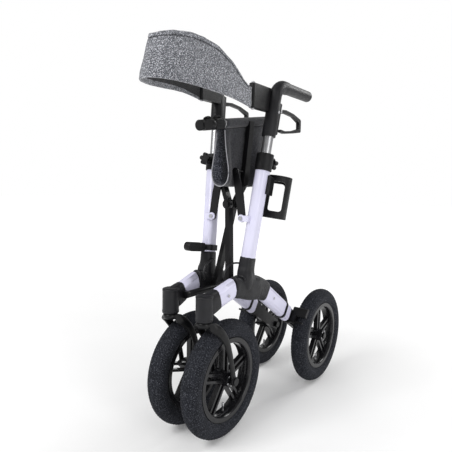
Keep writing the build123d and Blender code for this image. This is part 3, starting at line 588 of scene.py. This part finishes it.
# along one arm: its share of that reach, its distance behind the steering axis, and its height
FORK_LINE = [(0, 0.003, 0.3125), (0.5, 0.003, 0.3125), (0.86, 0.010, 0.3065), (1.03, 0.026, 0.292),
             (1.06, 0.046, 0.265), (1.02, 0.062, 0.230), (1, 0.074, 0.192), (1, CASTER_TRAIL, WHEEL_R)]
for side, sign in SIDES:
    parts = []
    for reach in (FORK_REACH, -FORK_REACH):
        path = [(sign * (FORK_X + reach * share), STEER_Y + back, z) for share, back, z in FORK_LINE]
        parts.append(swept(path, [0.011, 0.011, 0.0105, 0.0095, 0.0085, 0.008, 0.0075, 0.0075],
                           [0.024, 0.024, 0.021, 0.018, 0.0165, 0.0155, 0.0155, 0.0165], (1, 0, -0.35),
                           count=70, around=28, square=2.3))
        boss_from = FORK_X + reach - 0.0042
        parts.append(turned([(0, 0.010), (0.0006, 0.0122), (0.0078, 0.0122), (0.0084, 0.0115)],
                            (sign * boss_from, STEER_Y + CASTER_TRAIL, WHEEL_R), (sign, 0, 0), 32))
    parts.append(turned([(0, 0.010), (0.001, 0.0165), (0.006, 0.0185), (0.0135, 0.0185), (0.0145, 0.016)],
                        (sign * FORK_X, STEER_Y, 0.3075), (0, 0, 1)))
    verts, faces = joined(parts)
    fork = piece(f"{side}_fork_blades", verts, faces, f"{side}_caster", BLACK_METAL)
    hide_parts(f"{side}_fork")

# ---- cast hubs ----------------------------------------------------------------------------------
HUB_VOXEL, HUB_MELT = 0.0021, 5      # remesh size, and rounds of smoothing


def fused(name, verts, faces, voxel, rounds):
    """One smooth skin over overlapping bars, as a casting has."""
    mesh = bpy.data.meshes.new(name + "_rough")
    mesh.from_pydata([tuple(v) for v in verts], [], faces)
    rough = bpy.data.objects.new(name + "_rough", mesh)
    bpy.context.scene.collection.objects.link(rough)
    remesh = rough.modifiers.new("skin", "REMESH")
    remesh.mode = "VOXEL"
    remesh.voxel_size = voxel
    smooth = rough.modifiers.new("melt", "SMOOTH")
    smooth.factor = 0.5
    smooth.iterations = rounds
    bpy.context.view_layer.update()
    result = bpy.data.meshes.new_from_object(rough.evaluated_get(bpy.context.evaluated_depsgraph_get()))
    bpy.data.objects.remove(rough)
    result.name = name
    result.polygons.foreach_set("use_smooth", [True] * len(result.polygons))
    return result


def oval_blob(centre, radii):
    """A raised oval swelling."""
    rings, around = 14, 24
    angles = [math.pi * k / rings for k in range(rings + 1)]
    profile = [(-math.cos(a), max(0.02, math.sin(a))) for a in angles]
    verts, faces = turned(profile, (0, 0, 0), (0, 0, 1), around)
    return [Vector((centre[0] + v.x * radii[0], centre[1] + v.y * radii[1], centre[2] + v.z * radii[2]))
            for v in verts], faces


hub_parts = [
    swept([up_tube(0, 0, 0.002), up_tube(0, 0, -0.020), (0.0652, -0.116, 0.412), (0.064, -0.106, 0.382),
           (0.064, -0.085, 0.368)],
          [0.0365, 0.037, 0.039, 0.040, 0.040], [0.0405, 0.042, 0.050, 0.056, 0.056],
          (1, 0, 0), count=40, around=36, square=3.2, end_round=0.12),
    swept([(0.0625, -0.168, 0.3875), (0.0632, -0.145, 0.382), (0.064, -0.105, 0.372), (0.064, -0.07, 0.365)],
          [0.0335, 0.035, 0.040, 0.040], [0.0555, 0.056, 0.060, 0.058], (1, 0, 0),
          count=36, around=36, square=3.6, end_round=0.12),
    swept([(0.062, -0.018, 0.3475), (0.0625, -0.040, 0.361), (0.064, -0.078, 0.374), (0.064, -0.110, 0.380)],
          [0.0335, 0.035, 0.040, 0.040], [0.0555, 0.057, 0.062, 0.056], (1, 0, 0),
          count=36, around=36, square=3.6, end_round=0.12),
    oval_blob((0.0815, -0.124, 0.402), (0.0065, 0.0155, 0.027)),
]
hub_verts, hub_faces = joined(hub_parts)
hub_skin = fused("hub_skin", hub_verts, hub_faces, HUB_VOXEL, HUB_MELT)
for side, sign in SIDES:
    skin = hub_skin if sign > 0 else hub_skin.copy()
    if sign < 0:
        skin.transform(Matrix.Scale(-1, 4, (1, 0, 0)))
        skin.flip_normals()
    skin.materials.clear()
    skin.materials.append(CASTING)
    hub = put(f"{side}_hub_skin", skin, f"{side}_frame")
    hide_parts(f"{side}_hub_casting")

# ---- small frame details ------------------------------------------------------------------------
RAIL_RISE = 0.1566                   # a seat rail's rise for each unit backward
RAIL_ALONG = Vector((0, 1, RAIL_RISE)).normalized()
RAIL_ABOVE = Vector((1, 0, 0)).cross(RAIL_ALONG)
RAIL_FRONT = Vector((0.015, -0.221, 0.79342))
RAIL_LINE_Y, RAIL_LINE_Z = -0.262, 0.787    # a point that the rails' axes pass through
RAIL_BODY = {"left": "arm_b", "right": "arm_a"}
RAIL_R = 0.011


def flipped(shape, sign, raise_right=False):
    """A left-side shape, or its mirror image, which a raised handle may carry up."""
    verts, faces = shape
    lift = UP_RIGHT * RIGHT_RAISED if raise_right and sign < 0 else Vector((0, 0, 0))
    return [Vector((sign * v[0], v[1], v[2])) + lift for v in verts], faces


for side, sign in SIDES:
    sleeve = swept([(0.0553, -0.2635, 0.3603), (0.0564, -0.250, 0.3641), (0.0576, -0.233, 0.369)],
                   [0.0345, 0.0335, 0.0315], [0.058, 0.0560, 0.0535], (1, 0, 0), count=12, around=36,
                   square=3.0, end_round=0.04)
    cap = turned([(-0.0035, 0.0213), (-0.001, 0.0216), (0.0008, 0.0212), (0.002, 0.0198), (0.0030, 0.0165),
                  (0.0034, 0.010), (0.0035, 0.0004)], (FORK_X, STEER_Y, 0.3835), (0, 0, 1), 48)
    skirt = turned([(0, 0.0175), (0.0008, 0.0214), (0.006, 0.0217), (0.0068, 0.0212)],
                   (FORK_X, STEER_Y, 0.3235), (0, 0, 1), 48)
    verts, faces = joined([flipped(shape, sign) for shape in (sleeve, cap, skirt)])
    piece(f"{side}_housing_trim", verts, faces, f"{side}_frame", CASTING)

    block = swept([RAIL_FRONT + RAIL_ALONG * reach for reach in (0.020, 0.034, 0.050)],
                  0.0232, 0.028, (1, 0, 0), count=10, around=36, square=5, end_round=0.1)
    clip_at = RAIL_FRONT + RAIL_ALONG * 0.036 + RAIL_ABOVE * 0.0155
    clip = swept([clip_at - RAIL_ALONG * 0.010, clip_at + Vector((0, 0, 0.003)),
                  clip_at + RAIL_ALONG * 0.008],
                 0.012, 0.006, (1, 0, 0), count=12, around=20, square=3)
    verts, faces = joined([flipped(shape, sign) for shape in (block, clip)])
    piece(f"{side}_rail_end_block", verts, faces, RAIL_BODY[side], PLASTIC)
    ring = turned([(0, RAIL_R + 0.0001), (0.0002, RAIL_R + 0.0009), (0.0018, RAIL_R + 0.0009),
                   (0.002, RAIL_R + 0.0001)], RAIL_FRONT + RAIL_ALONG * 0.056, RAIL_ALONG, 36)
    verts, faces = flipped(ring, sign)
    piece(f"{side}_rail_ring", verts, faces, RAIL_BODY[side], STEEL)

    pins = [turned([(0, 0.0042), (0.004, 0.0045), (0.0052, 0.003), (0.0055, 0.0006)],
                   (0.084, -0.134, 0.8995), (0, 0, 1), 20),
            turned([(0, 0.0042), (0.003, 0.0045), (0.0042, 0.003), (0.0045, 0.0006)],
                   (0.084, -0.134, 0.8405), (0, 0, -1), 20),
            socket_screw(Vector((0.1012, -0.022, 0.846)), (1, 0, 0), 0.0048, 0.0028),
            socket_screw(up_tube(0.0181, 0.001, 0.392), UP_X, 0.0036, 0.0022)]
    verts, faces = joined([flipped(shape, sign, True) for shape in pins])
    piece(f"{side}_handle_screws", verts, faces, f"{side}_handle", STEEL)

# ---- backrest band ------------------------------------------------------------------------------
BAND_HALF = 0.084
BAND_BACK = -0.146
BAND_LONG = 0.272
BAND_THICK = 0.0085
LOW_SEAM, TOP_SEAM = 0.034, 0.897    # the seams, as shares of the band's height
BAND_LEAN = 0.022          # the band's upper edge stands this far inside its lower edge, at the front


def band_edges(y):
    """Height of the band's lower and upper edges at a distance along it."""
    ys = [-0.424, -0.418, -0.40, -0.37, -0.33, -0.29, -0.25, -0.212, -0.173, -0.155, -0.145]
    tops = [0.960, 0.9605, 0.9655, 0.9725, 0.9765, 0.9745, 0.9625, 0.9375, 0.9015, 0.8905, 0.8875]
    lows = [0.866, 0.866, 0.8655, 0.864, 0.861, 0.8575, 0.854, 0.850, 0.844, 0.841, 0.839]
    return float(np.interp(y, ys, lows)), float(np.interp(y, ys, tops))


def band_plan(count):
    """Points and outward normals round the U in plan, from the left bracket to the right one."""
    points = []
    for k in range(count + 1):
        a = math.pi * k / count
        c, s = math.cos(a), math.sin(a)
        x = BAND_HALF * c
        y = BAND_BACK - BAND_LONG * s
        points.append((x, y))
    p = np.array(points)
    run = np.concatenate([[0], np.cumsum(np.hypot(*np.diff(p, axis=0).T))])
    even = np.linspace(0, run[-1], count + 1)
    p = np.stack([np.interp(even, run, p[:, 0]), np.interp(even, run, p[:, 1])], 1)
    tangent = np.gradient(p, axis=0)
    tangent /= np.linalg.norm(tangent, axis=1)[:, None]
    normal = np.stack([-tangent[:, 1], tangent[:, 0]], 1)
    if normal[count // 2, 1] > 0:
        normal = -normal
    return p, normal


def band_lean(share):
    """How far the upper edge leans in at a share of the way round from the left bracket."""
    return BAND_LEAN * min(1.0, 1.5 * math.sin(math.pi * share)) ** 1.2


def band_shift(share):
    """How far the band is carried up by the right handle, which is set higher than the left."""
    t = max(0.0, share * 2 - 1)
    return UP_RIGHT * RIGHT_RAISED * t * t * (3 - 2 * t)


def band():
    """The padded band: grey face cloth with a seam below the top edge, bound edges and a black lining."""
    count = 220
    plan, normal = band_plan(count)
    rise = [0, 0.012, 0.028, LOW_SEAM, 0.046, 0.1, 0.18, 0.27, 0.36, 0.45, 0.54, 0.63, 0.72, 0.8, 0.855,
            0.885, TOP_SEAM, 0.909, 0.93, 0.96, 0.985, 1.0]
    section = []
    for r in rise:
        below_seam = min(max(r, 0.001), TOP_SEAM) / TOP_SEAM
        puff = 0.5 * BAND_THICK * (0.62 + 0.38 * min(1, math.sin(math.pi * below_seam) * 1.6))
        if r in (LOW_SEAM, TOP_SEAM):
            puff *= 0.72
        if r in (0, 1.0):
            puff *= 0.35
        if r > TOP_SEAM:
            puff = 0.5 * BAND_THICK * (0.9 if r < 0.99 else 0.45)
        section.append((r, puff, 0))
    for r in reversed(rise):
        depth = 0.5 * BAND_THICK * (0.55 if 0 < r < 1 else 0.3)
        section.append((r, -depth, 1 if 0.06 < r < 0.97 else 0))
    verts, faces, kinds = [], [], []
    for k in range(count + 1):
        low, top = band_edges(plan[k, 1])
        shift = band_shift(k / count)
        crease = 0.0007 * math.sin(k * 0.61) * math.exp(-((k - count / 2) / 60) ** 2)
        for r, out, _ in section:
            soft = 0.0006 * math.sin(k * 0.27 + r * 9) * (1 if out > 0 else 0)
            offset = out + soft + crease - band_lean(k / count) * r
            verts.append((plan[k, 0] + normal[k, 0] * offset + shift.x,
                          plan[k, 1] + normal[k, 1] * offset + shift.y,
                          low + (top - low) * r + shift.z))
    columns = len(section)
    for i in range(count):
        for j in range(columns):
            a, b = i * columns + j, i * columns + (j + 1) % columns
            faces.append((a, b, b + columns, a + columns))
            kinds.append(section[j][2] if section[(j + 1) % columns][2] else 0)
    faces.append(tuple(range(columns)))
    faces.append(tuple(range(count * columns, (count + 1) * columns)))
    kinds += [0, 0]
    return verts, faces, kinds, plan, normal


band_verts, band_faces, band_kinds, band_line, band_normal = band()
band_piece = piece("backrest_band", band_verts, band_faces, None, [FABRIC, LINING])
band_piece.data.polygons.foreach_set("material_index", band_kinds)
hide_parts("backrest_band_left", "backrest_band_right")
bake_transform(band_piece)


SEAM_STEP = 4                        # a seam follows every fourth point, and stops one step short


def band_line_at(rise_at, out):
    """Points that follow the band at one share of its height."""
    points = []
    for k in range(SEAM_STEP, len(band_line) - SEAM_STEP, SEAM_STEP):
        low, top = band_edges(band_line[k, 1])
        share = k / (len(band_line) - 1)
        offset = out - band_lean(share) * rise_at
        shift = band_shift(share)
        points.append((band_line[k, 0] + band_normal[k, 0] * offset + shift.x,
                       band_line[k, 1] + band_normal[k, 1] * offset + shift.y,
                       low + (top - low) * rise_at + shift.z))
    return points


def seam(name, points, width, material):
    """A thin round bead of fabric along some points, turning with the cloth that it is sewn to."""
    verts, faces = swept(points, width, width, (0, 0, 1), count=len(points) * 3, around=8, square=2)
    line = piece(name, verts, faces, None, material)
    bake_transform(line)
    return line


seam("backrest_top_seam", band_line_at(TOP_SEAM, 0.0034), 0.0012, LINING)
seam("backrest_low_binding", band_line_at(0.014, 0.0006), 0.003, FABRIC)

# ---- seat cloth ---------------------------------------------------------------------------------
SEAT_FROM, SEAT_TO = -0.152, 0.050
SEAT_LOW = 0.6435
CLOTH = 0.0016
CLOTH_DROP = 0.0125                  # from a rail's axis down to where the cloth's section starts


def eased(value, start, end):
    """0 before start, 1 after end, and smooth between them."""
    t = min(1.0, max(0.0, (value - start) / (end - start)))
    return t * t * (3 - 2 * t)


def seat_section(y):
    """The hanging loop's left side at one place along the rails, from the rail down to the fold.

    The loop opens out in front of the brace arms and behind them, and is drawn in between them."""
    rail = RAIL_LINE_Z + RAIL_RISE * (y - RAIL_LINE_Y)
    top = rail - CLOTH_DROP
    loose = eased(-y, 0.122, 0.142) + eased(y, -0.036, -0.004)
    narrow = [0.0125, 0.0122, 0.0128, 0.0146, 0.0152, 0.0148, 0.0120, 0.0062, 0.0]
    wide = [0.0125, 0.0140, 0.0175, 0.0235, 0.0272, 0.0262, 0.0205, 0.0105, 0.0]
    heights = [top, top - 0.02, top - 0.05, SEAT_LOW + 0.065, SEAT_LOW + 0.042, SEAT_LOW + 0.024,
               SEAT_LOW + 0.0095, SEAT_LOW + 0.0022, SEAT_LOW]
    return [(a + (b - a) * loose, z) for a, b, z in zip(narrow, wide, heights)]


def seat():
    """One cloth hung from rail to rail: grey face inside the loop, dark backing outside, thin all over."""
    rows, across = 44, 60
    middle = []
    for i in range(rows + 1):
        y = SEAT_FROM + (SEAT_TO - SEAT_FROM) * i / rows
        left = [Vector((x, y, z)) for x, z in seat_section(y)]
        whole = left + [Vector((-p.x, p.y, p.z)) for p in reversed(left[:-1])]
        line = spline(whole, across + 1)
        edge = min(i, rows - i) / rows
        for j, p in enumerate(line):
            drape = 0.0009 * math.sin(i * 0.55 + j * 0.21) * min(1, edge * 10)
            fall = math.sin(math.pi * j / across)
            ripple = 0.0006 * math.sin(i * 0.4) * fall
            middle.append(p + Vector((drape * (1 if p.x > 0 else -1), 0, ripple)))
    columns = across + 1
    grid = np.array([tuple(p) for p in middle]).reshape(rows + 1, columns, 3)
    along = np.gradient(grid, axis=1)
    normal = np.cross(along, np.gradient(grid, axis=0))
    normal /= np.linalg.norm(normal, axis=2)[:, :, None]
    if normal[rows // 2, 5, 0] < 0:
        normal = -normal
    outer = (grid + normal * CLOTH / 2).reshape(-1, 3)
    inner = (grid - normal * CLOTH / 2).reshape(-1, 3)
    verts = [tuple(v) for v in outer] + [tuple(v) for v in inner]
    faces = grid_faces(rows + 1, columns)
    kinds = [1] * len(faces)
    shift = len(outer)
    faces += [tuple(reversed([a + shift for a in f])) for f in grid_faces(rows + 1, columns)]
    kinds += [0] * (len(faces) - len(kinds))
    rim = [i * columns for i in range(rows + 1)] + [rows * columns + j for j in range(1, columns)]
    rim += [i * columns + across for i in range(rows - 1, -1, -1)] + list(range(across - 1, 0, -1))
    for a, b in zip(rim, rim[1:] + rim[:1]):
        faces.append((a, b, b + shift, a + shift))
        kinds.append(0)
    return verts, faces, kinds, grid


seat_verts, seat_faces, seat_kinds, seat_grid = seat()
seat_piece = piece("seat_cloth", seat_verts, seat_faces, None, [FABRIC_DARK, BACKING])
seat_piece.data.polygons.foreach_set("material_index", seat_kinds)
seat_piece.data.update()
SLEEVE_PROUD = 0.0028      # how much thicker a seat sleeve is than the rail inside it
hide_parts("seat_cloth_left", "seat_cloth_right")
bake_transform(seat_piece)
# pale beads along the seat cloth's front and rear edges; their pale colour is a painted highlight on those
# edges
for name, row in (("seat_front_piping_painted_highlight", 0), ("seat_rear_piping_painted_highlight", -1)):
    seam(name, [tuple(p) for p in seat_grid[row, 1:-1:3]], 0.0026, PIPING_PAINTED_HIGHLIGHT)
for side, sign in SIDES:
    ends = [RAIL_FRONT + RAIL_ALONG * ((y - RAIL_FRONT.y) / RAIL_ALONG.y) for y in (SEAT_FROM, SEAT_TO)]
    size = 2 * RAIL_R + SLEEVE_PROUD
    verts, faces = flipped(swept([ends[0], (ends[0] + ends[1]) / 2, ends[1]], size, size,
                                 (1, 0, 0), count=50, around=32), sign)
    sleeve = piece(f"{side}_seat_sleeve", verts, faces, RAIL_BODY[side], BACKING)

# ---- brake cables -------------------------------------------------------------------------------
CABLE_ROUTE = [(0.052, -0.118, 0.441), (0.036, -0.118, 0.441), (0.035, -0.142, 0.441),
               (0.034, -0.166, 0.430), (0.034, -0.173, 0.409), (0.036, -0.160, 0.389),
               (0.052, -0.160, 0.389)]
for side, sign in SIDES:
    data = bpy.data.curves.new(f"{side}_cable_loop", "CURVE")
    data.dimensions = "3D"
    data.bevel_depth = 0.0025
    data.bevel_resolution = 6
    data.use_fill_caps = True
    line = data.splines.new("NURBS")
    line.points.add(len(CABLE_ROUTE) - 1)
    for point, (x, y, z) in zip(line.points, CABLE_ROUTE):
        point.co = (sign * x, y, z, 1)
    line.order_u = 3
    line.use_endpoint_u = True
    line.resolution_u = 12
    data.materials.append(CABLE)
    cable = put(f"{side}_cable_loop", data, f"{side}_frame")
    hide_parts(f"{side}_brake_cable")
